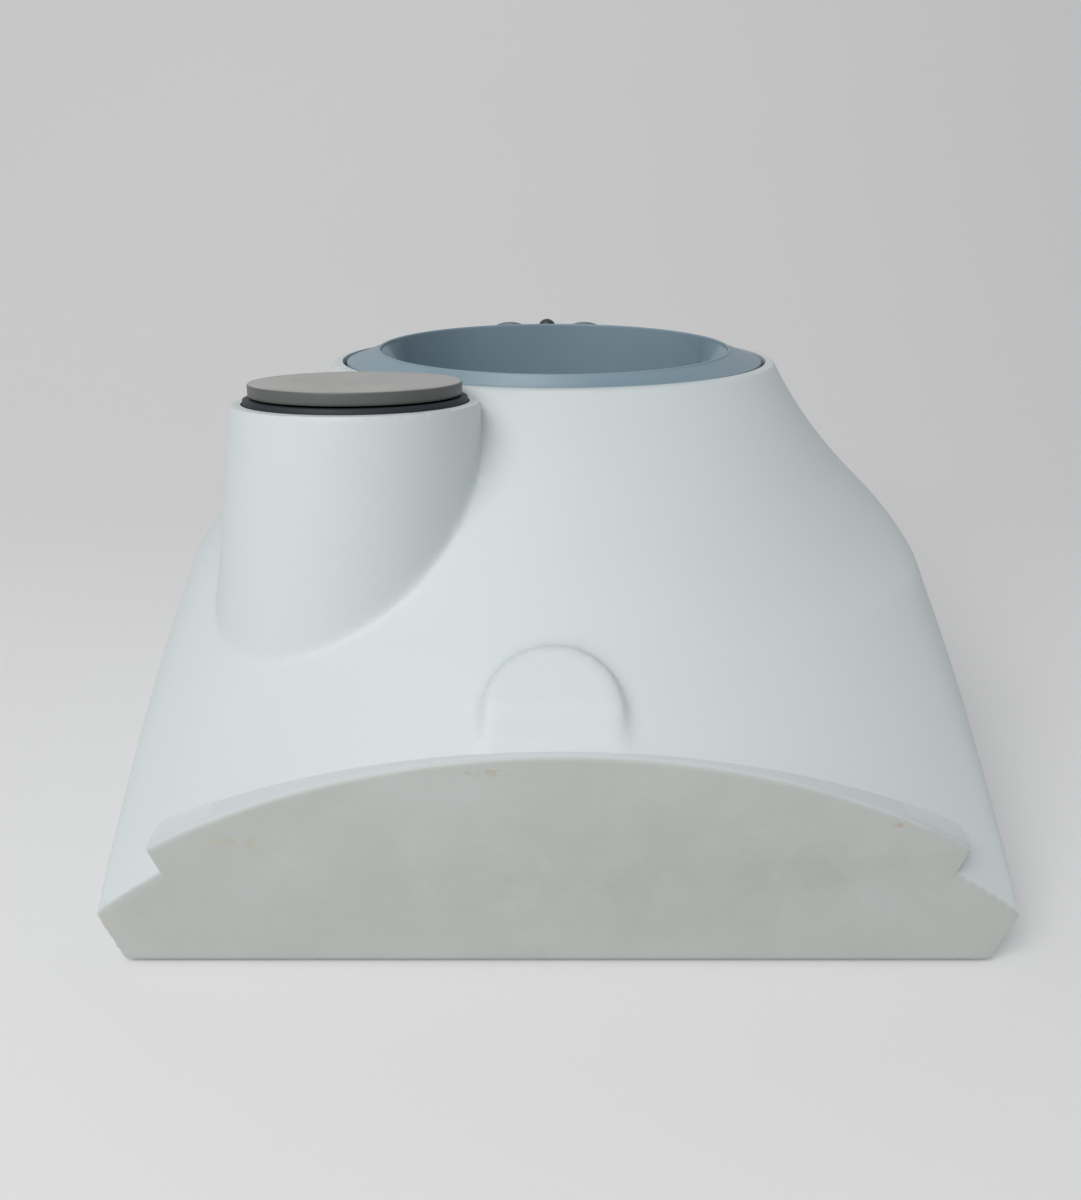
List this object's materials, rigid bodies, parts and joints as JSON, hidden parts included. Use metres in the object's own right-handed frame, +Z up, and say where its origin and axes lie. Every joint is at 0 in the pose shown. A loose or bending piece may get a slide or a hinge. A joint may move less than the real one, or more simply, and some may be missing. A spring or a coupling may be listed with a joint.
{
  "type": "countertop circulating water bath",
  "caption": "White bell-shaped countertop water bath with a round grey well, side turret dial, push buttons, flat rear flange and magnet-driven pump for low-temperature cooking.",
  "frame": {"origin": "on the surface the feet stand on, under the middle of the body's width and depth", "axes": "+Z up; +X to the right of a viewer who faces the flat rear flange; +Y away from that viewer, towards the operator's side"},
  "size_m": [0.24, 0.258, 0.1428],
  "materials": {
    "white_shell": "fine matte white moulding",
    "base_white": "matte",
    "liner_grey": "satin blue-grey",
    "dial_grey": "worn satin grey",
    "seal_rubber": "matte",
    "seat_dark": "satin blue-black",
    "key_grey": "satin",
    "key_dark": "satin",
    "foot_rubber": "matte",
    "steel": "bright",
    "board": "solder mask",
    "component_black": "moulded",
    "magnet": "sintered",
    "copper": "wound copper",
    "pump_plastic": "satin",
    "aluminium": "plain",
    "brass": "plain",
    "grommet": "matte"
  },
  "bodies": {
    "housing": {"housing_shell": "white_shell", "base_plate": "base_white", "rubber_feet": "foot_rubber", "base_screws": "steel", "well_liner": "liner_grey", "well_seal": "seal_rubber", "dial_seat": "seat_dark", "encoder_body": "component_black", "encoder_board": "board", "encoder_screws": "steel", "control_board": "board", "tact_switches": "component_black", "control_screws": "steel", "impeller_pin": "steel", "impeller_guard": "pump_plastic", "motor_can": "aluminium", "motor_bearings": "brass", "motor_stator": "copper", "motor_screws": "steel", "heater_band": "steel", "heater_terminals": "brass", "thermal_cutout": "component_black", "probe_grommet": "grommet", "temperature_probe": "steel", "power_board": "board", "power_screws": "steel", "transformer": "copper", "heater_relay": "component_black", "filter_capacitor": "aluminium", "mains_inlet": "component_black", "inlet_pins": "brass", "inlet_screws": "steel"},
    "dial": {"dial": "dial_grey", "dial_shaft": "steel"},
    "minus_button": {"minus_button": "key_grey"},
    "start_button": {"start_button": "key_dark"},
    "plus_button": {"plus_button": "key_grey"},
    "rotor": {"motor_shaft": "steel", "motor_armature": "magnet", "drive_rotor": "aluminium", "drive_magnet": "magnet"},
    "impeller": {"impeller": "pump_plastic", "impeller_magnet": "magnet"}
  },
  "joints": [
    {"name": "dial_turn", "type": "hinge", "parent": "housing", "child": "dial", "pos_m": [-0.0559, -0.0564, 0.1342], "axis": [0, 0.1045, 0.9945], "continuous": true},
    {"name": "minus_press", "type": "slide", "parent": "housing", "child": "minus_button", "axis": [0, 0.3024, 0.9532], "range_m": [-0.001, 0], "stiffness_N_per_m": 400},
    {"name": "start_press", "type": "slide", "parent": "housing", "child": "start_button", "axis": [0, 0.3024, 0.9532], "range_m": [-0.001, 0], "stiffness_N_per_m": 400},
    {"name": "plus_press", "type": "slide", "parent": "housing", "child": "plus_button", "axis": [0, 0.3024, 0.9532], "range_m": [-0.001, 0], "stiffness_N_per_m": 400},
    {"name": "rotor_spin", "type": "hinge", "parent": "housing", "child": "rotor", "pos_m": [0, 0.0205, 0.02], "axis": [0, 0, 1], "continuous": true},
    {"name": "impeller_spin", "type": "hinge", "parent": "housing", "child": "impeller", "pos_m": [0, 0.0205, 0.04], "axis": [0, 0, 1], "continuous": true}
  ],
  "couplings": [
    {"joint": "impeller_spin", "follows": "rotor_spin", "ratio": 1}
  ]
}
